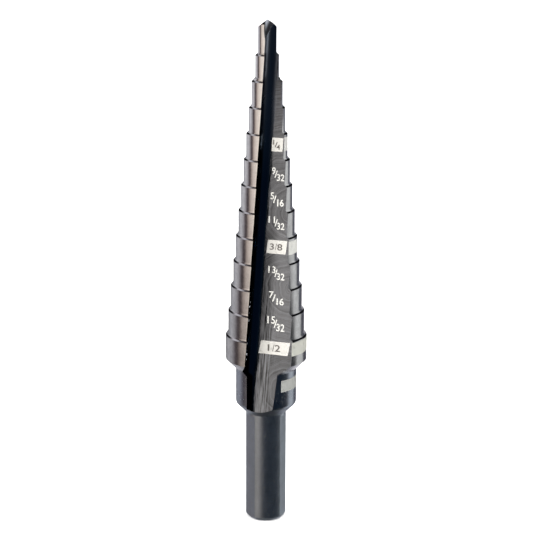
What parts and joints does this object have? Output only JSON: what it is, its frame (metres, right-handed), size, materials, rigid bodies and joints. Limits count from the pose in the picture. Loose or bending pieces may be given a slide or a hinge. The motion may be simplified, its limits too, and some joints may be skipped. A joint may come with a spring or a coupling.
{
  "type": "step drill",
  "caption": "Straight-fluted step drill with a stepped conical body, a split point, a short collar and a straight shank with flats for a chuck.",
  "frame": {"origin": "centre of the flat end of the shank, on the drill's axis", "axes": "+Z along the drill's axis from the shank's end to the tip; -Y is the side where one of the two flutes lies open"},
  "size_m": [0.0126, 0.0112, 0.0794],
  "materials": {
    "tool_steel": "satin"
  },
  "bodies": {
    "root": {"step_drill": "tool_steel"}
  },
  "joints": []
}
